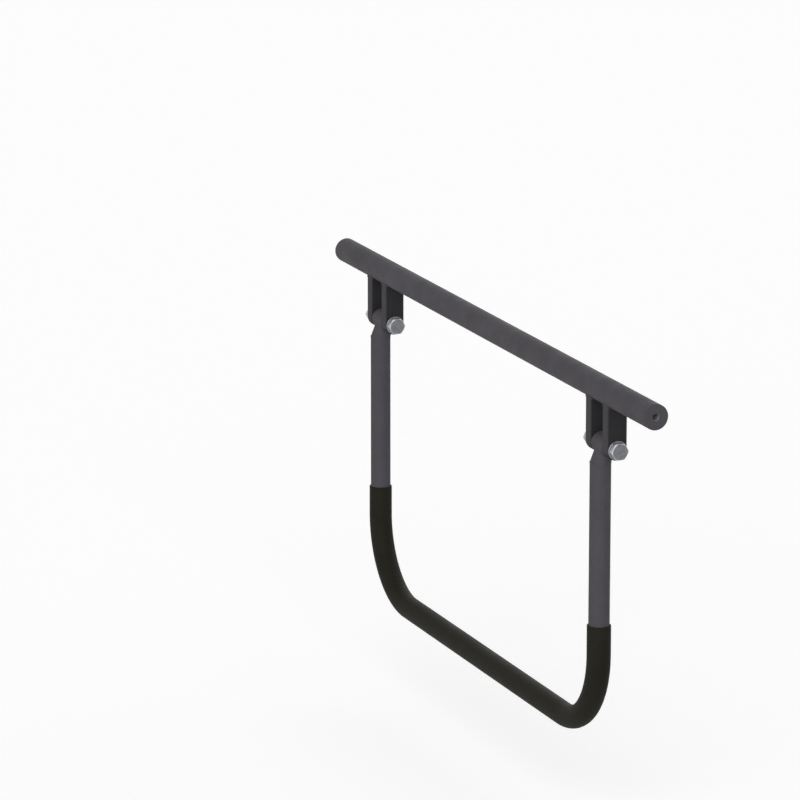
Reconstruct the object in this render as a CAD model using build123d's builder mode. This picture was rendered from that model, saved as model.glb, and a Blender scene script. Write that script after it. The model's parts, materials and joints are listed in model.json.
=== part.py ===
"""Fold-away U bar hinged under a cross rail, in millimetres.

+X runs along the rail, -Y points out of the wall, +Z is up.
The origin is on the rail's axis at mid-span, and the bar hangs straight down.
"""
import os
from math import radians, sqrt, tan

from build123d import *

os.makedirs("parts", exist_ok=True)

# Cross rail: steel pipe closed at each end by a threaded plug
rail_length = 840.0
rail_od = 26.9
rail_wall = 2.6
plug_flange = 3.0
plug_depth = 27.0
plug_fit = 0.05
plug_edge_break = 0.75
mount_thread_bore = 6.8
mount_thread_depth = 25.0
mount_countersink = 9.0

# Swing bar: one tube bent twice into a U
arm_spacing = 600.0
bar_drop = 310.0
bend_radius = 88.0
tube_od = 22.0
tube_wall = 2.0
arm_offset = 6.0

# Sleeve stretched over the bottom run, both bends and a little of each arm
sleeve_wall = 1.5
sleeve_fit = 0.05
sleeve_overhang = 32.0
sleeve_lip = 0.7

# Hinge: two flat ears per arm, welded under the rail, with an eye between them
pivot_drop = 56.0
ear_width = 22.0
ear_thickness = 12.0
ear_gap = 30.0
ear_rounding = 1.0
weld_fit_up = 0.1
eye_od = 22.0
eye_edge_break = 0.6
neck_height = 18.0
neck_taper = 1.0
neck_fillet = 2.0
spigot_length = 30.0
spigot_fit = 0.05

# Flanged bush: one pressed into each side of an eye
bush_wall = 1.5
bush_flange_od = 19.0
bush_flange = 1.5
bush_press_fit = 0.02
bush_meeting_gap = 1.0
bush_lead_in = 0.4
side_clearance = 0.1
running_clearance = 0.05

# Pivot bolt set, in the usual proportions to the bolt's diameter
bolt_d = 10.0
bolt_protrusion = 2.0
bolt_hole_clearance = 0.25
bolt_tip_chamfer = 0.12 * bolt_d
across_flats = 1.7 * bolt_d
head_height = 0.64 * bolt_d
nut_height = 0.74 * bolt_d
collar_height = 0.26 * bolt_d
collar_od = 1.5 * bolt_d
collar_rounding = 0.09 * bolt_d
insert_od = 1.3 * bolt_d
washer_od = 2.0 * bolt_d
washer_thickness = 0.2 * bolt_d
washer_edge_break = 0.03 * bolt_d
thread_fit = 0.03
hex_chamfer_angle = 30.0
hex_land = 0.95
hex_rim = 1.05

# Heights and radii that several pieces share
pivot_z = -pivot_drop
run_z = pivot_z - bar_drop
tube_top_z = pivot_z - neck_height
rail_r = rail_od / 2
tube_r = tube_od / 2
tube_bore_r = tube_r - tube_wall
bolt_r = bolt_d / 2
bush_bore_r = bolt_r + running_clearance
bush_r = bush_bore_r + bush_wall
ear_hole_r = bolt_r + bolt_hole_clearance
barrel_length = ear_gap - 2 * (side_clearance + bush_flange)
neck_blend = min(neck_fillet, (barrel_length - tube_od) / 2 - eye_edge_break)
clevis_half = ear_gap / 2 + ear_thickness
bolt_length = 2 * (clevis_half + washer_thickness) + nut_height + collar_height + bolt_protrusion
across_corners = across_flats * 2 / sqrt(3)
ends = {"left": -1, "right": 1}
match_tolerance = 1e-6
bar_plane = Plane.XZ.offset(arm_offset)


def pivot_plane(x):
    """A plane square to the pivot axis at the given x, centred on that axis."""
    return Plane(origin=(x, 0, pivot_z), x_dir=(0, 1, 0), z_dir=(1, 0, 0))


def u_line(top_z):
    """Corner points of the U's centreline, starting and ending at top_z."""
    half = arm_spacing / 2
    return [(-half, top_z), (-half, run_z), (half, run_z), (half, top_z)]


def hex_chamfer(base_x, height, direction):
    """Trim a hexagon's corners with the cone that a turned head or nut has."""
    land_r = hex_land * across_flats / 2
    rim_r = hex_rim * across_corners / 2
    drop = (rim_r - land_r) * tan(radians(hex_chamfer_angle))
    tip_x = base_x + direction * height
    with BuildSketch(Plane(origin=(0, 0, pivot_z), x_dir=(1, 0, 0), z_dir=(0, -1, 0))) as half_cone:
        with BuildLine():
            Polyline(
                (base_x, 0),
                (base_x, rim_r),
                (tip_x - direction * drop, rim_r),
                (tip_x, land_r),
                (tip_x, 0),
                close=True,
            )
        make_face()
    revolve(half_cone.sketch, axis=Axis((0, 0, pivot_z), (1, 0, 0)), mode=Mode.INTERSECT)


# Cross rail, cut short at each end by the plug's flange
with BuildPart() as cross_rail:
    with BuildSketch(Plane.YZ.offset(-rail_length / 2 + plug_flange)):
        Circle(rail_r)
        Circle(rail_r - rail_wall, mode=Mode.SUBTRACT)
    extrude(amount=rail_length - 2 * plug_flange)
cross_rail.part.label = "cross_rail"
export_step(cross_rail.part, "parts/cross_rail.step")

# Rail end plugs: a flange over the pipe's end, a body inside it and a tapped hole
for end, side in ends.items():
    with BuildPart() as end_plug:
        face_plane = Plane.YZ.offset(side * rail_length / 2)
        with BuildSketch(face_plane):
            Circle(rail_r)
        extrude(amount=-side * plug_flange)
        with BuildSketch(face_plane.offset(-side * plug_flange)):
            Circle(rail_r - rail_wall - plug_fit)
        extrude(amount=-side * plug_depth)
        rims = end_plug.edges().filter_by(GeomType.CIRCLE).sort_by(Axis.X)
        chamfer(rims[0 if side < 0 else -1], length=plug_edge_break)
        with BuildSketch(face_plane):
            Circle(mount_thread_bore / 2)
        extrude(amount=-side * mount_thread_depth, mode=Mode.SUBTRACT)
        mouth = end_plug.edges().filter_by(GeomType.CIRCLE).filter_by(
            lambda edge: abs(edge.radius - mount_thread_bore / 2) < match_tolerance
        )
        mouth = mouth.sort_by(Axis.X)
        chamfer(mouth[0 if side < 0 else -1], length=(mount_countersink - mount_thread_bore) / 2)
    end_plug.part.label = f"rail_end_plug_{end}"
    export_step(end_plug.part, f"parts/rail_end_plug_{end}.step")

# Hinge ears: flat bar coped under the rail, round about the pivot
for end, side in ends.items():
    arm_x = side * arm_spacing / 2
    for place, outward in (("outer", side), ("inner", -side)):
        inner_face_x = arm_x + outward * ear_gap / 2
        with BuildPart() as ear:
            with BuildSketch(Plane.YZ.offset(inner_face_x)):
                with Locations((0, pivot_z / 2)):
                    Rectangle(ear_width, pivot_drop)
                with Locations((0, pivot_z)):
                    Circle(ear_width / 2)
                Circle(rail_r + weld_fit_up, mode=Mode.SUBTRACT)
                with Locations((0, pivot_z)):
                    Circle(ear_hole_r, mode=Mode.SUBTRACT)
            extrude(amount=outward * ear_thickness)
            rim = ear.edges().filter_by(
                lambda edge: edge.bounding_box().size.X < match_tolerance
                and abs(edge.center().Y) > ear_width / 2 - match_tolerance
            )
            toe = ear.edges().filter_by(GeomType.CIRCLE).filter_by(
                lambda edge: abs(edge.radius - ear_width / 2) < match_tolerance
            )
            fillet(rim + toe, radius=ear_rounding)
        ear.part.label = f"{end}_{place}_ear"
        export_step(ear.part, f"parts/{end}_{place}_ear.step")

# Swing bar: the bent tube, square-cut under each eye
with BuildPart() as swing_bar:
    with BuildLine(bar_plane) as bar_path:
        FilletPolyline(*u_line(tube_top_z), radius=bend_radius)
    with BuildSketch(Plane(origin=bar_path.line @ 0, z_dir=bar_path.line % 0)):
        Circle(tube_r)
        Circle(tube_bore_r, mode=Mode.SUBTRACT)
    sweep(path=bar_path.line)
swing_bar.part.label = "swing_bar"
export_step(swing_bar.part, "parts/swing_bar.step")

# Grip sleeve: a soft tube with rounded lips, stretched over the U
with BuildPart() as grip_sleeve:
    with BuildLine(bar_plane) as sleeve_path:
        FilletPolyline(*u_line(run_z + bend_radius + sleeve_overhang), radius=bend_radius)
    with BuildSketch(Plane(origin=sleeve_path.line @ 0, z_dir=sleeve_path.line % 0)):
        Circle(tube_r + sleeve_fit + sleeve_wall)
        Circle(tube_r + sleeve_fit, mode=Mode.SUBTRACT)
    sweep(path=sleeve_path.line)
    lips = grip_sleeve.faces().filter_by(Axis.Z).sort_by(Axis.Z)[-2:]
    fillet([face.outer_wire().edges()[0] for face in lips], radius=sleeve_lip)
grip_sleeve.part.label = "grip_sleeve"
export_step(grip_sleeve.part, "parts/grip_sleeve.step")

# Pivot eyes: a barrel across the hinge, a neck leaning out under it and a spigot in the tube
for end, side in ends.items():
    arm_x = side * arm_spacing / 2
    with BuildPart() as pivot_eye:
        with BuildSketch(Plane.XY.offset(tube_top_z)):
            with Locations((arm_x, -arm_offset)):
                Circle(tube_r)
        with BuildSketch(Plane.XY.offset(pivot_z)):
            with Locations((arm_x, 0)):
                Circle(eye_od / 2 - neck_taper)
        loft()
        with BuildSketch(pivot_plane(arm_x - barrel_length / 2)):
            Circle(eye_od / 2)
        extrude(amount=barrel_length)
        fillet(pivot_eye.edges(Select.NEW), radius=neck_blend)
        barrel_rims = pivot_eye.edges().filter_by(GeomType.CIRCLE).filter_by(
            lambda edge: edge.bounding_box().size.X < match_tolerance
        )
        chamfer(barrel_rims, length=eye_edge_break)
        with BuildSketch(Plane.XY.offset(tube_top_z)):
            with Locations((arm_x, -arm_offset)):
                Circle(tube_bore_r - spigot_fit)
        extrude(amount=-spigot_length)
        with BuildSketch(pivot_plane(arm_x - barrel_length / 2)):
            Circle(bush_r + bush_press_fit)
        extrude(amount=barrel_length, mode=Mode.SUBTRACT)
        spigot_tip = pivot_eye.edges().filter_by(GeomType.CIRCLE).sort_by(Axis.Z)[0]
        chamfer(spigot_tip, length=eye_edge_break)
    pivot_eye.part.label = f"pivot_eye_{end}"
    export_step(pivot_eye.part, f"parts/pivot_eye_{end}.step")

# Flanged bushes: nylon, pressed into both sides of each eye
for end, side in ends.items():
    arm_x = side * arm_spacing / 2
    for place, outward in (("outer", side), ("inner", -side)):
        flange_x = arm_x + outward * (barrel_length / 2 + bush_flange)
        stem_length = (barrel_length - bush_meeting_gap) / 2
        with BuildPart() as bush:
            with BuildSketch(pivot_plane(flange_x)):
                Circle(bush_flange_od / 2)
            extrude(amount=-outward * bush_flange)
            with BuildSketch(pivot_plane(flange_x - outward * bush_flange)):
                Circle(bush_r)
            extrude(amount=-outward * stem_length)
            stem_rims = bush.edges().filter_by(GeomType.CIRCLE).sort_by(Axis.X)
            chamfer(stem_rims[0 if outward > 0 else -1], length=bush_lead_in)
            with BuildSketch(pivot_plane(flange_x)):
                Circle(bush_bore_r)
            extrude(amount=-outward * (bush_flange + stem_length), mode=Mode.SUBTRACT)
        bush.part.label = f"{end}_{place}_bush"
        export_step(bush.part, f"parts/{end}_{place}_bush.step")

# Pivot bolts with their washers, nuts and nylon rings: every head faces +X
for end, side in ends.items():
    arm_x = side * arm_spacing / 2
    head_x = arm_x + clevis_half + washer_thickness
    nut_x = arm_x - clevis_half - washer_thickness
    collar_x = nut_x - nut_height

    with BuildPart() as pivot_bolt:
        with BuildSketch(pivot_plane(head_x)):
            RegularPolygon(radius=across_corners / 2, side_count=6)
        extrude(amount=head_height)
        hex_chamfer(head_x, head_height, 1)
        with BuildSketch(pivot_plane(head_x)):
            Circle(bolt_r)
        extrude(amount=-bolt_length)
        bolt_tip = pivot_bolt.edges().filter_by(GeomType.CIRCLE).sort_by(Axis.X)[0]
        chamfer(bolt_tip, length=bolt_tip_chamfer)
    pivot_bolt.part.label = f"pivot_bolt_{end}"
    export_step(pivot_bolt.part, f"parts/pivot_bolt_{end}.step")

    for name, seat_x, outward in (("head_washer", head_x, -1), ("nut_washer", nut_x, 1)):
        with BuildPart() as washer:
            with BuildSketch(pivot_plane(seat_x)):
                Circle(washer_od / 2)
                Circle(ear_hole_r, mode=Mode.SUBTRACT)
            extrude(amount=outward * washer_thickness)
            outer_rims = washer.edges().filter_by(GeomType.CIRCLE).filter_by(
                lambda edge: abs(edge.radius - washer_od / 2) < match_tolerance
            )
            chamfer(outer_rims, length=washer_edge_break)
        washer.part.label = f"{name}_{end}"
        export_step(washer.part, f"parts/{name}_{end}.step")

    with BuildPart() as lock_nut:
        with BuildSketch(pivot_plane(nut_x)):
            RegularPolygon(radius=across_corners / 2, side_count=6)
        extrude(amount=-nut_height)
        hex_chamfer(nut_x, nut_height, -1)
        with BuildSketch(pivot_plane(collar_x)):
            Circle(collar_od / 2)
        extrude(amount=-collar_height)
        collar_rim = lock_nut.edges().filter_by(GeomType.CIRCLE).sort_by(Axis.X)[0]
        fillet(collar_rim, radius=collar_rounding)
        with BuildSketch(pivot_plane(collar_x)):
            Circle(insert_od / 2)
        extrude(amount=-collar_height, mode=Mode.SUBTRACT)
        with BuildSketch(pivot_plane(nut_x)):
            Circle(bolt_r + thread_fit)
        extrude(amount=-nut_height, mode=Mode.SUBTRACT)
    lock_nut.part.label = f"lock_nut_{end}"
    export_step(lock_nut.part, f"parts/lock_nut_{end}.step")

    with BuildPart() as nut_ring:
        with BuildSketch(pivot_plane(collar_x)):
            Circle(insert_od / 2 - thread_fit)
            Circle(bolt_r + thread_fit, mode=Mode.SUBTRACT)
        extrude(amount=-collar_height)
    nut_ring.part.label = f"nut_ring_{end}"
    export_step(nut_ring.part, f"parts/nut_ring_{end}.step")
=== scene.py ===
import json
from math import asin, cos, pi, radians, sin, sqrt, tan

import bmesh
import bpy
from mathutils import Matrix, Vector


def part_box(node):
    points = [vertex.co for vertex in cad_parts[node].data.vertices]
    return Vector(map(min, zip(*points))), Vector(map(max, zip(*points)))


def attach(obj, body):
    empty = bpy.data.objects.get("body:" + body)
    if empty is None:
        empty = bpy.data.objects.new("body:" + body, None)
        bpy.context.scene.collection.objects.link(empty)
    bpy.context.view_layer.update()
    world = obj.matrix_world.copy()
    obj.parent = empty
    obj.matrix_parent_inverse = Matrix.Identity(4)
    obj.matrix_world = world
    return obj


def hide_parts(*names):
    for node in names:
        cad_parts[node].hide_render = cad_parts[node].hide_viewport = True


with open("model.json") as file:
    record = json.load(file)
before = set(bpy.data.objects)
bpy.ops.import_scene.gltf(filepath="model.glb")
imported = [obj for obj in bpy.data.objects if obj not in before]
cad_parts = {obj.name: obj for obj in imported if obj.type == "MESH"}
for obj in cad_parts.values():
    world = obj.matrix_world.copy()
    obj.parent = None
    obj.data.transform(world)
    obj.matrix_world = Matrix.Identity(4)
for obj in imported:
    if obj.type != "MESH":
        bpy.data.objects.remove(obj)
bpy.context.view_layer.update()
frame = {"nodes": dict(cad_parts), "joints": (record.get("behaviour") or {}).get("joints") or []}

nodes = frame["nodes"]


# Cross rail: a straight length of welded steel pipe that carries everything.
# It is powder coated a satin mid grey, and the cured coat keeps the fine orange peel
# of melted powder.
rail_grey = (0.0625, 0.0588, 0.0658, 1.0)
rail_grey_light = (0.0785, 0.0738, 0.0827, 1.0)
rail_specular = 0.12


def start_finish(name, specular=0.5, metallic=0.0):
    """A new material: its tree, its surface shader and the part's own coordinates."""
    material = bpy.data.materials.new(name)
    material.use_nodes = True
    tree = material.node_tree
    shader = tree.nodes["Principled BSDF"]
    shader.inputs["Specular IOR Level"].default_value = specular
    shader.inputs["Metallic"].default_value = metallic
    place = tree.nodes.new("ShaderNodeTexCoord").outputs["Object"]
    return material, tree, shader, place


def speckle(tree, place, spots_per_metre, detail=2.0):
    """Soft random spots of about one size, from 0 to 1."""
    noise = tree.nodes.new("ShaderNodeTexNoise")
    noise.inputs["Scale"].default_value = spots_per_metre
    noise.inputs["Detail"].default_value = detail
    tree.links.new(place, noise.inputs["Vector"])
    return noise.outputs[0]


def calculate(tree, operation, first, second):
    """One operation on two numbers, each a socket or a plain value."""
    step = tree.nodes.new("ShaderNodeMath")
    step.operation = operation
    for slot, number in enumerate((first, second)):
        if isinstance(number, bpy.types.NodeSocket):
            tree.links.new(number, step.inputs[slot])
        else:
            step.inputs[slot].default_value = number
    return step.outputs["Value"]


def mean_of(tree, first, second, share):
    """A mean of two factors, with that share of the first."""
    first = calculate(tree, "MULTIPLY", first, share)
    second = calculate(tree, "MULTIPLY", second, 1 - share)
    return calculate(tree, "ADD", first, second)


def between(tree, factor, dark, light, low=0.3, high=0.7):
    """A colour that runs from dark to light as the factor goes from low to high."""
    ramp = tree.nodes.new("ShaderNodeValToRGB")
    ramp.color_ramp.elements[0].position = low
    ramp.color_ramp.elements[0].color = dark
    ramp.color_ramp.elements[1].position = high
    ramp.color_ramp.elements[1].color = light
    tree.links.new(factor, ramp.inputs["Fac"])
    return ramp.outputs["Color"]


def spread(tree, factor, low, high, from_low=0.3, from_high=0.7):
    """The factor stretched to run from low to high, and held there."""
    stretch = tree.nodes.new("ShaderNodeMapRange")
    stretch.inputs["From Min"].default_value = from_low
    stretch.inputs["From Max"].default_value = from_high
    stretch.inputs["To Min"].default_value = low
    stretch.inputs["To Max"].default_value = high
    tree.links.new(factor, stretch.inputs["Value"])
    return stretch.outputs["Result"]


def relief(tree, height, depth, strength, under=None):
    """Bumps of that depth in metres, over any bumps already made."""
    bump = tree.nodes.new("ShaderNodeBump")
    bump.inputs["Distance"].default_value = depth
    bump.inputs["Strength"].default_value = strength
    tree.links.new(height, bump.inputs["Height"])
    if under:
        tree.links.new(under, bump.inputs["Normal"])
    return bump.outputs["Normal"]


def dress(tree, shader, colour, roughness, bumps):
    """Give a surface its colour, its roughness and its bumps."""
    tree.links.new(colour, shader.inputs["Base Color"])
    tree.links.new(roughness, shader.inputs["Roughness"])
    tree.links.new(bumps, shader.inputs["Normal"])


def powder_coat(name, dark, light, specular):
    """Satin powder coat: clouded a little in tone and gloss, with a fine orange peel."""
    material, tree, shader, place = start_finish(name, specular)
    clouds = speckle(tree, place, spots_per_metre=45.0, detail=4.0)
    peel = speckle(tree, place, spots_per_metre=620.0)
    grit = speckle(tree, place, spots_per_metre=1500.0)
    tone = mean_of(tree, clouds, grit, share=0.25)
    waves = relief(tree, peel, depth=0.00025, strength=1.0)
    dress(
        tree, shader,
        colour=between(tree, tone, dark, light, low=0.4, high=0.6),
        roughness=spread(tree, clouds, low=0.74, high=0.64),
        bumps=relief(tree, grit, depth=0.00006, strength=0.8, under=waves),
    )
    return material


def give_finish(finish, *names):
    """Put a finish on solids that keep their shape."""
    for name in names:
        nodes[name].material_slots[0].material = finish


grey_coat = powder_coat("grey_powder_coat", rail_grey, rail_grey_light, rail_specular)
give_finish(grey_coat, "cross_rail")


# Rail end plugs: turned steel discs with a body inside the pipe, coated with the rail.
# Each has a countersunk M8 hole, tapped after coating, so its thread is bare steel.
tapped_radius = 0.0036
tapped_fade = 0.0002
tapped_pitch = 0.00125
tapped_depth = 0.0005
bare_steel = (0.24, 0.24, 0.25, 1.0)
wave_radians = 20.0  # what a wave texture of scale 1 turns through in a metre


def reopen(material):
    """The tree, the surface shader and the coordinates of a finish made before."""
    tree = material.node_tree
    return tree, tree.nodes["Principled BSDF"], tree.nodes["Texture Coordinate"].outputs["Object"]


def by_axis(tree, place):
    """Coordinates taken apart, to be picked by the name of an axis."""
    split = tree.nodes.new("ShaderNodeSeparateXYZ")
    tree.links.new(place, split.inputs["Vector"])
    return split.outputs


def repeats(tree, place, pitch, kind):
    """A wave of that pitch in metres: bands along the rail, or rings about it."""
    wave = tree.nodes.new("ShaderNodeTexWave")
    wave.wave_type = kind
    wave.rings_direction = "X"
    wave.inputs["Scale"].default_value = 2 * pi / wave_radians / pitch
    tree.links.new(place, wave.inputs["Vector"])
    return wave


def over_coat(tree, shader, colour, factor):
    """Lay another colour over a finish where the factor is 1."""
    mix = tree.nodes.new("ShaderNodeMixRGB")
    tree.links.new(factor, mix.inputs["Fac"])
    tree.links.new(shader.inputs["Base Color"].links[0].from_socket, mix.inputs["Color1"])
    mix.inputs["Color2"].default_value = colour
    tree.links.new(mix.outputs["Color"], shader.inputs["Base Color"])


def tap(material):
    """Cut bare, helical turns of thread into a finish, close round the rail's axis."""
    tree, shader, place = reopen(material)
    axes = by_axis(tree, place)
    squares = [calculate(tree, "POWER", axes[axis], 2.0) for axis in ("Y", "Z")]
    reach = calculate(tree, "POWER", calculate(tree, "ADD", *squares), 0.5)
    bore = spread(
        tree, reach, low=1.0, high=0.0,
        from_low=tapped_radius, from_high=tapped_radius + tapped_fade,
    )
    over_coat(tree, shader, bare_steel, bore)
    tree.links.new(bore, shader.inputs["Metallic"])
    turns = repeats(tree, place, tapped_pitch, "BANDS")
    angle = calculate(tree, "ARCTAN2", axes["Z"], axes["Y"])
    tree.links.new(angle, turns.inputs["Phase Offset"])
    height = calculate(tree, "MULTIPLY", turns.outputs["Fac"], bore)
    peel = shader.inputs["Normal"].links[0].from_socket
    thread = relief(tree, height, tapped_depth, strength=1.0, under=peel)
    tree.links.new(thread, shader.inputs["Normal"])


plug_coat = powder_coat("tapped_plug_coat", rail_grey, rail_grey_light, rail_specular)
tap(plug_coat)
give_finish(plug_coat, "rail_end_plug_left", "rail_end_plug_right")


# Hinge ears: flat steel bar, coped to the pipe at the top and rounded under the pivot.
# They are coated a darker grey than the rail, and their rounded front and back edges carry a
# painted highlight, paler than the coat.
ear_grey = (0.0220, 0.0215, 0.0231, 1.0)
ear_grey_light = (0.0284, 0.0278, 0.0299, 1.0)
# The paler colour of the painted highlight on the ears' front and back edges.
ear_edge_highlight = (0.0545, 0.0505, 0.0555, 1.0)
ear_specular = 0.1
highlight_reach = 0.0016
highlight_unevenness = 0.001
ear_names = ("left_outer_ear", "left_inner_ear", "right_inner_ear", "right_outer_ear")


def paint_edge_highlight(material, edge):
    """Paint a highlight: pale the coat towards a part's front and back edges, unevenly, as if lit
    there.
    """
    tree, shader, place = reopen(material)
    depth = calculate(tree, "ABSOLUTE", by_axis(tree, place)["Y"], 0.0)
    patches = speckle(tree, place, spots_per_metre=220.0, detail=4.0)
    uneven = calculate(tree, "ADD", depth, calculate(tree, "MULTIPLY", patches, highlight_unevenness))
    lit_edges = spread(tree, uneven, low=0.0, high=1.0, from_low=edge - highlight_reach, from_high=edge)
    over_coat(tree, shader, ear_edge_highlight, lit_edges)


dark_coat = powder_coat("dark_powder_coat", ear_grey, ear_grey_light, ear_specular)
# The ears' front and back edges get their painted highlight here.
paint_edge_highlight(dark_coat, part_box("right_outer_ear")[1].y)
give_finish(dark_coat, *ear_names)


# Ear welds: one convex fillet bead across each face of an ear, under the pipe.
# They are laid by hand in small overlapping pools and coated with the ears, whose dark coat also
# serves as painted shade along the joint under the pipe.
bead_radius = 0.0017
bead_offset = 0.0005
bead_sides = 14
ear_rounding = 0.001
pool_pitch = 0.0023
pool_waist = 0.9
pool_swell = 0.16
steps_per_pool = 6
hand_sway = 0.05
sway_rate = 2.1
merge_distance = 1e-6


def weld_bead(bm, seam, centre, axis, sweep, radius, full=False):
    """Spin a bead along a seam that starts at a point, about a centre, with rippled pools."""
    arm = seam - centre
    arm -= axis * arm.dot(axis)
    along = axis.cross(arm).normalized()
    turned = Matrix((arm.normalized(), axis, along)).transposed().to_4x4()
    pools = arm.length * sweep / pool_pitch
    earlier = set(bm.verts)
    ring = bmesh.ops.create_circle(
        bm, segments=bead_sides, radius=radius, matrix=Matrix.Translation(seam) @ turned
    )["verts"]
    edges = list(dict.fromkeys(edge for vert in ring for edge in vert.link_edges))
    bmesh.ops.spin(
        bm, geom=ring + edges, cent=centre, axis=axis, angle=sweep,
        steps=round(pools * steps_per_pool), use_merge=full,
    )
    for vert in bm.verts:
        if vert in earlier:
            continue
        spoke = vert.co - centre
        spoke -= axis * spoke.dot(axis)
        turn = arm.angle(spoke)
        if full and spoke.dot(along) < 0:
            turn = 2 * pi - turn
        root = centre + axis * (seam - centre).dot(axis) + spoke.normalized() * arm.length
        run = arm.length * turn
        swell = pool_waist + pool_swell * abs(sin(pi * run / pool_pitch))
        swell += hand_sway * sin(sway_rate * run / pool_pitch)
        if not full:
            end = min(run, arm.length * sweep - run)
            swell *= sqrt(max(0.0, 1 - max(0.0, 1 - end / radius) ** 2))
        vert.co = root + (vert.co - root) * swell


def new_object(name, data):
    """A new object, put into the scene."""
    thing = bpy.data.objects.new(name, data)
    bpy.context.scene.collection.objects.link(thing)
    return thing


def piece_from(bm, name, finish, body, crisp=pi):
    """Close a mesh up, shade it smooth up to the crisp angle, and let it ride on its body."""
    bmesh.ops.remove_doubles(bm, verts=bm.verts, dist=merge_distance)
    bmesh.ops.recalc_face_normals(bm, faces=bm.faces)
    for face in bm.faces:
        face.smooth = True
    for edge in bm.edges:
        edge.smooth = edge.calc_face_angle(0.0) < crisp
    mesh = bpy.data.meshes.new(name)
    bm.to_mesh(mesh)
    bm.free()
    mesh.materials.append(finish)
    piece = new_object(name, mesh)
    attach(piece, body)
    return piece


rail_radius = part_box("cross_rail")[1].z
rail_middle = Vector((0.0, 0.0, 0.0))
rail_axis = Vector((1.0, 0.0, 0.0))
for ear in ear_names:
    ear_low, ear_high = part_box(ear)
    half_wrap = asin((ear_high.y - ear_rounding) / rail_radius)
    weld = bmesh.new()
    for face_x, outward in ((ear_low.x, -1), (ear_high.x, 1)):
        start = Vector((face_x + outward * bead_offset, 0.0, -rail_radius - bead_offset))
        start = Matrix.Rotation(-half_wrap, 3, "X") @ start
        weld_bead(weld, start, rail_middle, rail_axis, 2 * half_wrap, bead_radius)
    # The welds' dark coat doubles as painted shade along the joint.
    piece_from(weld, f"{ear}_weld", dark_coat, "rail_assembly")


# Swing bar: one length of steel tube, bent twice on a mandrel into a wide U.
# It is coated in the same grey as the rail.
give_finish(grey_coat, "swing_bar")


# Pivot eyes: forged barrels, whose necks lean out to meet the tube's ends.
# A low ring of weld joins each neck to its tube, and both are coated as one.
neck_bead_radius = 0.0012
neck_bead_sink = 0.0009
tube_low, tube_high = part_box("swing_bar")
tube_radius = (tube_high.y - tube_low.y) / 2
arm_x = tube_high.x - tube_radius
arm_y = (tube_high.y + tube_low.y) / 2
arm_axis = Vector((0.0, 0.0, 1.0))
for end, side in (("left", -1), ("right", 1)):
    give_finish(grey_coat, f"pivot_eye_{end}")
    joint = Vector((side * arm_x, arm_y, tube_high.z))
    seam = joint + Vector((tube_radius - neck_bead_sink, 0.0, 0.0))
    weld = bmesh.new()
    weld_bead(weld, seam, joint, arm_axis, 2 * pi, neck_bead_radius, full=True)
    piece_from(weld, f"neck_weld_{end}", grey_coat, "folding_bar")


# Flanged bushes: moulded black nylon, pressed into both sides of each eye.
# Only the rim of a flange shows, between an eye and an ear.
bush_black = (0.018, 0.018, 0.019, 1.0)
bush_black_light = (0.026, 0.026, 0.027, 1.0)


def nylon(name, dark, light, roughest, smoothest):
    """Moulded nylon: an even colour with a faint flow pattern and a matt skin."""
    material, tree, shader, place = start_finish(name, specular=0.4)
    flow = speckle(tree, place, spots_per_metre=160.0, detail=3.0)
    skin = speckle(tree, place, spots_per_metre=1800.0)
    dress(
        tree, shader,
        colour=between(tree, flow, dark, light),
        roughness=spread(tree, flow, low=smoothest, high=roughest),
        bumps=relief(tree, skin, depth=0.00005, strength=0.3),
    )
    return material


bush_nylon = nylon("bush_nylon", bush_black, bush_black_light, roughest=0.55, smoothest=0.45)
give_finish(
    bush_nylon, "left_outer_bush", "left_inner_bush", "right_inner_bush", "right_outer_bush"
)


# Washers and lock nuts: steel, barrel plated with bright zinc.
# The plate is faintly mottled, over the rings that turning left around the pivot axis.
# The stamped washers are duller, and each nut's collar holds a ring of natural nylon.
washer_dull = (0.230, 0.234, 0.246, 1.0)
washer_bright = (0.310, 0.315, 0.330, 1.0)
zinc_dull = (0.350, 0.356, 0.372, 1.0)
zinc_bright = (0.460, 0.467, 0.488, 1.0)
ring_cream = (0.52, 0.51, 0.46, 1.0)
ring_cream_light = (0.62, 0.61, 0.56, 1.0)
turning_pitch = 0.0004
turning_waver = 0.6
pivot_z = frame["joints"][0]["pos_m"][2]


def zinc_plate(name, dull, bright):
    """Bright zinc: blue-white metal, clouded in gloss, over turned rings about the pivot."""
    material, tree, shader, place = start_finish(name, metallic=1.0)
    centred = tree.nodes.new("ShaderNodeMapping")
    centred.inputs["Location"].default_value = (0.0, 0.0, -pivot_z)
    tree.links.new(place, centred.inputs["Vector"])
    rings = repeats(tree, centred.outputs["Vector"], turning_pitch, "RINGS")
    rings.inputs["Distortion"].default_value = turning_waver
    mottle = speckle(tree, place, spots_per_metre=260.0, detail=4.0)
    pits = speckle(tree, place, spots_per_metre=1500.0)
    turned = relief(tree, rings.outputs["Fac"], depth=0.00001, strength=0.25)
    dress(
        tree, shader,
        colour=between(tree, mottle, dull, bright),
        roughness=spread(tree, mottle, low=0.52, high=0.40),
        bumps=relief(tree, pits, depth=0.00004, strength=0.2, under=turned),
    )
    return material


bright_zinc = zinc_plate("bright_zinc", zinc_dull, zinc_bright)
washer_zinc = zinc_plate("washer_zinc", washer_dull, washer_bright)
ring_nylon = nylon("ring_nylon", ring_cream, ring_cream_light, roughest=0.5, smoothest=0.4)
for end in ("left", "right"):
    give_finish(washer_zinc, f"head_washer_{end}", f"nut_washer_{end}")
    give_finish(bright_zinc, f"lock_nut_{end}")
    give_finish(ring_nylon, f"nut_ring_{end}")
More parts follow.
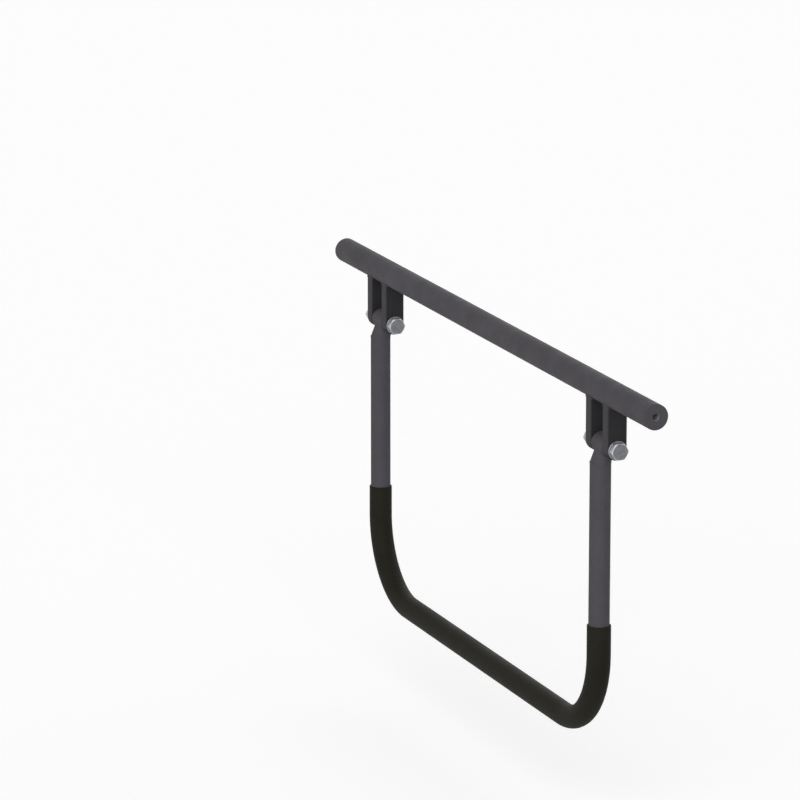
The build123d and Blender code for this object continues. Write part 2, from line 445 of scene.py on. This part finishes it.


# Pivot bolts: hexagon head bolts, forged, rolled with a thread and zinc plated.
# Each head bears on its washer, and its thread shows past the lock nut. The head's end face is
# painted a darker zinc than the flats and the crown, a painted shade for how the light falls on it.
# Painted shade: the darker zinc of the bolt head's end face.
shaded_face_dull = (0.150, 0.153, 0.163, 1.0)
shaded_face_bright = (0.205, 0.209, 0.221, 1.0)
bolt_radius = 0.005
across_flats = 0.017
head_height = 0.0064
washer_face = 0.0004
corner_round = 0.0004
corner_steps = 3
flat_cuts = 12
crown_angle = radians(30.0)
crown_share = 0.95
thread_pitch = 0.0015
thread_depth = 0.61 * thread_pitch
crest_flat = thread_pitch / 8
root_flat = thread_pitch / 4
thread_length = 0.018
thread_runout = thread_pitch / 2
thread_steps = 40
spare_turns = 3
tip_chamfer = 0.0011
cut_tolerance = 0.00001
crisp_angle = radians(25.0)


def open_edges(bm, height):
    """The open edges of a mesh that lie at one height."""
    return [
        edge for edge in bm.edges
        if edge.is_boundary and all(abs(vert.co.z - height) < cut_tolerance for vert in edge.verts)
    ]


def ring_on(bm, edges):
    """Extrude a ring of edges, and give the new ring's edges and corners."""
    made = bmesh.ops.extrude_edge_only(bm, edges=edges)["geom"]
    verts = [item for item in made if isinstance(item, bmesh.types.BMVert)]
    new = set(verts)
    rim = [
        item for item in made
        if isinstance(item, bmesh.types.BMEdge) and all(vert in new for vert in item.verts)
    ]
    return rim, verts


def round_to(verts, radius, height):
    """Set corners on a circle about the bolt's axis."""
    for vert in verts:
        flat = Vector((vert.co.x, vert.co.y, 0.0)).normalized() * radius
        vert.co = flat + Vector((0.0, 0.0, height))


def hex_head(bm):
    """A hexagon with rounded corners and a turned crown, on a thin washer face with an open rim."""
    corners = bmesh.ops.create_circle(bm, segments=6, radius=across_flats / sqrt(3))["verts"]
    bmesh.ops.bevel(
        bm, geom=corners, offset=corner_round, affect="VERTICES",
        segments=corner_steps, profile=0.5, material=-1,
    )
    flats = [edge for edge in bm.edges if edge.calc_length() > 2 * corner_round]
    bmesh.ops.subdivide_edges(bm, edges=flats, cuts=flat_cuts)
    bmesh.ops.translate(bm, verts=bm.verts, vec=(0.0, 0.0, washer_face))
    foot = list(bm.edges)
    crown_radius = crown_share * across_flats / 2
    rim, verts = ring_on(bm, foot)
    for vert in verts:
        reach = vert.co.xy.length - crown_radius
        vert.co.z = head_height - max(0.0, reach) * tan(crown_angle)
    rim, verts = ring_on(bm, rim)
    round_to(verts, crown_radius, head_height)
    # The end face takes the second material, the darker zinc of its painted shade.
    for face in bmesh.ops.edgeloop_fill(bm, edges=rim)["faces"]:
        face.material_index = 1
    for height in (washer_face, 0.0):
        foot, verts = ring_on(bm, foot)
        round_to(verts, crown_radius, height)
    return foot


def rolled_thread(top, tip):
    """A rod with one helical thread, open at the top and chamfered at the tip."""
    bm = bmesh.new()
    root = bolt_radius - thread_depth
    flank = (thread_pitch - crest_flat - root_flat) / 2
    height = top + thread_runout + thread_pitch
    outline = [bm.verts.new((bolt_radius, 0.0, height))]
    for reach, drop in (
        (bolt_radius, crest_flat), (root, flank), (root, root_flat), (bolt_radius, flank),
    ):
        height -= drop
        outline.append(bm.verts.new((reach, 0.0, height)))
    edges = [bm.edges.new(pair) for pair in zip(outline, outline[1:])]
    turns = round(thread_length / thread_pitch) + spare_turns
    bmesh.ops.spin(
        bm, geom=outline + edges, cent=(0.0, 0.0, 0.0), axis=(0.0, 0.0, 1.0),
        dvec=(0.0, 0.0, -thread_pitch / thread_steps),
        angle=2 * pi * turns, steps=thread_steps * turns,
    )
    bmesh.ops.remove_doubles(bm, verts=bm.verts, dist=merge_distance)
    for height, side in ((top, 1), (tip, -1)):
        bmesh.ops.bisect_plane(
            bm, geom=bm.verts[:] + bm.edges[:] + bm.faces[:],
            plane_co=(0.0, 0.0, height), plane_no=(0.0, 0.0, side), clear_outer=True,
        )
    bmesh.ops.edgeloop_fill(bm, edges=open_edges(bm, tip))
    for vert in bm.verts:
        limit = bolt_radius - tip_chamfer + vert.co.z - tip
        reach = vert.co.xy.length
        if reach > limit:
            vert.co.x *= limit / reach
            vert.co.y *= limit / reach
    return bm


def hex_bolt(length):
    """A hexagon bolt along Z, with its head above the origin and its shank below."""
    tip = -length
    shank_end = tip + thread_length
    thread_top = shank_end - thread_runout
    bm = bmesh.new()
    rim, verts = ring_on(bm, hex_head(bm))
    round_to(verts, bolt_radius, 0.0)
    rim, verts = ring_on(bm, rim)
    round_to(verts, bolt_radius, shank_end)
    thread = rolled_thread(thread_top, tip)
    spare = bpy.data.meshes.new("thread")
    thread.to_mesh(spare)
    thread.free()
    bm.from_mesh(spare)
    bpy.data.meshes.remove(spare)
    bmesh.ops.bridge_loops(bm, edges=rim + open_edges(bm, thread_top))
    return bm


shaded_face = zinc_plate("shaded_face_zinc", shaded_face_dull, shaded_face_bright)
for end in ("left", "right"):
    node = f"pivot_bolt_{end}"
    bolt_low, bolt_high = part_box(node)
    bearing_x = bolt_high.x - head_height
    bolt = hex_bolt(bearing_x - bolt_low.x)
    seat = Matrix.Translation((bearing_x, 0.0, pivot_z)) @ Matrix.Rotation(pi / 2, 4, "Y")
    bmesh.ops.transform(bolt, matrix=seat, verts=bolt.verts)
    piece = piece_from(
        bolt, f"hex_bolt_{end}", bright_zinc, "rail_assembly", crisp_angle
    )
    # The second material, on the head's end face, is its painted shade.
    piece.data.materials.append(shaded_face)
    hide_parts(node)


# Grip sleeve: extruded rubber tube, pushed along the bar with air until it covers the U.
# It is matt and nearly black, and the inside of each bend gathers into faint folds.
rubber_black = (0.0120, 0.0109, 0.0076, 1.0)
rubber_bloom = (0.0196, 0.0179, 0.0128, 1.0)
bend_radius = 0.088
sleeve_fit = 0.00005
sleeve_sides = 72
bend_steps = 90
lip_round = 0.0007
lip_steps = 4
fold_pitch = 0.0075
fold_height = 0.00016
sleeve_low, sleeve_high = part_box("grip_sleeve")
sleeve_radius = (sleeve_high.y - sleeve_low.y) / 2
sleeve_bore = tube_radius + sleeve_fit
mid_wall = (sleeve_radius + sleeve_bore) / 2
bend_x = arm_x - bend_radius
bend_z = sleeve_low.z + sleeve_radius + bend_radius


def sleeve_rubber(name, black, bloom):
    """Matt rubber: near black, dulled unevenly by handling, with a fine grain."""
    material, tree, shader, place = start_finish(name, specular=0.06)
    dulled = speckle(tree, place, spots_per_metre=30.0, detail=5.0)
    grain = speckle(tree, place, spots_per_metre=1300.0, detail=3.0)
    tone = mean_of(tree, dulled, grain, share=0.4)
    dress(
        tree, shader,
        colour=between(tree, tone, black, bloom, low=0.4, high=0.6),
        roughness=spread(tree, dulled, low=0.58, high=0.7),
        bumps=relief(tree, grain, depth=0.0003, strength=1.0),
    )
    return material


def straight_on(bm, edges, shift):
    """Carry an open ring on along a straight stretch."""
    rim, verts = ring_on(bm, edges)
    bmesh.ops.translate(bm, verts=verts, vec=shift)
    return rim


def bend_on(bm, edges, centre_x):
    """Carry an open ring on round one of the two bends."""
    verts = list(dict.fromkeys(vert for edge in edges for vert in edge.verts))
    last = bmesh.ops.spin(
        bm, geom=verts + edges, cent=(centre_x, arm_y, bend_z), axis=(0.0, -1.0, 0.0),
        angle=pi / 2, steps=bend_steps,
    )["geom_last"]
    return [item for item in last if isinstance(item, bmesh.types.BMEdge)]


def gather(vert):
    """Ripple the sleeve's outside a little where a bend's inner side squeezes it."""
    side = 1 if vert.co.x > 0 else -1
    hub = Vector((side * bend_x, arm_y, bend_z))
    spoke = vert.co - hub
    spoke.y = 0.0
    if spoke.x * side <= 0 or spoke.z >= 0:
        return
    spoke.normalize()
    out = vert.co - hub - spoke * bend_radius
    if out.length < mid_wall:
        return
    out.normalize()
    squeeze = max(0.0, -out.dot(spoke))
    turn = Vector((side, 0.0, 0.0)).angle(spoke)
    fade = sin(2 * turn) ** 2 * squeeze ** 2
    ripple = sin(2 * pi * turn * bend_radius / fold_pitch)
    vert.co += out * fold_height * fade * ripple


sleeve = bmesh.new()
bmesh.ops.create_circle(
    sleeve, segments=sleeve_sides, radius=sleeve_radius,
    matrix=Matrix.Translation((-arm_x, arm_y, sleeve_high.z)),
)
ring = straight_on(sleeve, sleeve.edges[:], (0.0, 0.0, bend_z - sleeve_high.z))
ring = bend_on(sleeve, ring, -bend_x)
ring = straight_on(sleeve, ring, (2 * bend_x, 0.0, 0.0))
ring = bend_on(sleeve, ring, bend_x)
straight_on(sleeve, ring, (0.0, 0.0, sleeve_high.z - bend_z))
bmesh.ops.recalc_face_normals(sleeve, faces=sleeve.faces)
lips = [edge for edge in sleeve.edges if edge.is_boundary]
bmesh.ops.solidify(sleeve, geom=sleeve.faces[:], thickness=sleeve_radius - sleeve_bore)
bmesh.ops.bevel(
    sleeve, geom=lips, offset=lip_round, affect="EDGES",
    segments=lip_steps, profile=0.5, material=-1,
)
for vert in sleeve.verts:
    gather(vert)
rubber = sleeve_rubber("sleeve_rubber", rubber_black, rubber_bloom)
piece = piece_from(sleeve, "rubber_sleeve", rubber, "folding_bar")
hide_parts("grip_sleeve")


# Studio: a plain pale floor under the hanging bar, lit evenly by broad soft lamps.
# The floor and the sky are lifted to near white for what sees them, and not as light.
floor_z = -0.47
floor_size = 120.0
floor_tone = 0.80
floor_roughness = 0.9
floor_lift = 0.40
white = (1.0, 1.0, 1.0, 1.0)
sky_light = 0.35
sky_tone = 0.97
# Each lamp has a name, a bearing, a height and a softness in degrees, and a strength.
lamps = (
    ("front_lamp", 50.0, 14.0, 80.0, 2.6),
    ("back_lamp", 215.0, 12.0, 80.0, 1.4),
)


def seen_rays(tree):
    """1 for rays from the camera, a reflection or a clear body, and 0 for lighting rays."""
    path = tree.nodes.new("ShaderNodeLightPath")
    seen = path.outputs["Is Camera Ray"]
    for kind in ("Is Glossy Ray", "Is Transmission Ray"):
        seen = calculate(tree, "MAXIMUM", seen, path.outputs[kind])
    return seen


def towards(azimuth, elevation):
    """The direction from the part to something seen at that bearing and height, in degrees."""
    turn, rise = radians(azimuth), radians(elevation)
    return Vector((sin(turn) * cos(rise), -cos(turn) * cos(rise), sin(rise)))


def aim(thing, azimuth, elevation):
    """Turn a lamp or a camera to look at the part from that bearing and height."""
    thing.rotation_euler = towards(azimuth, elevation).to_track_quat("Z", "Y").to_euler()


floor_mesh = bmesh.new()
bmesh.ops.create_grid(
    floor_mesh, x_segments=1, y_segments=1, size=floor_size / 2,
    matrix=Matrix.Translation((0.0, 0.0, floor_z)),
)
mesh = bpy.data.meshes.new("floor")
floor_mesh.to_mesh(mesh)
floor_mesh.free()
floor = new_object("floor", mesh)

paper, tree, shader, _ = start_finish("paper_floor", specular=0.0)
shader.inputs["Base Color"].default_value = (floor_tone, floor_tone, floor_tone, 1.0)
shader.inputs["Roughness"].default_value = floor_roughness
shader.inputs["Emission Color"].default_value = white
lift = calculate(tree, "MULTIPLY", seen_rays(tree), floor_lift)
tree.links.new(lift, shader.inputs["Emission Strength"])
mesh.materials.append(paper)

world = bpy.data.worlds.new("studio")
bpy.context.scene.world = world
world.use_nodes = True
tree = world.node_tree
sky = tree.nodes["Background"]
sky.inputs["Color"].default_value = white
level = spread(tree, seen_rays(tree), low=sky_light, high=sky_tone, from_low=0.0, from_high=1.0)
tree.links.new(level, sky.inputs["Strength"])

for name, azimuth, elevation, softness, strength in lamps:
    lamp = bpy.data.lights.new(name, "SUN")
    lamp.angle = radians(softness)
    lamp.energy = strength
    aim(new_object(name, lamp), azimuth, elevation)


# Camera: a long lens beyond the rail's right end, a little above it.
# Its place and bearing are fitted to the rail, the ears and the hanging bar.
camera_place = (5.0805, -2.1600, 1.2918)
camera_azimuth = 67.968
camera_elevation = 13.945
focal_px = 5335.7
frame_px = 800
sensor = 36.0
view_reach = 200.0

lens = bpy.data.cameras.new("camera")
lens.sensor_width = sensor
lens.lens = focal_px / frame_px * sensor
lens.clip_end = view_reach
camera = new_object("camera", lens)
camera.location = camera_place
aim(camera, camera_azimuth, camera_elevation)
bpy.context.scene.camera = camera
bpy.context.scene.view_settings.view_transform = "Standard"
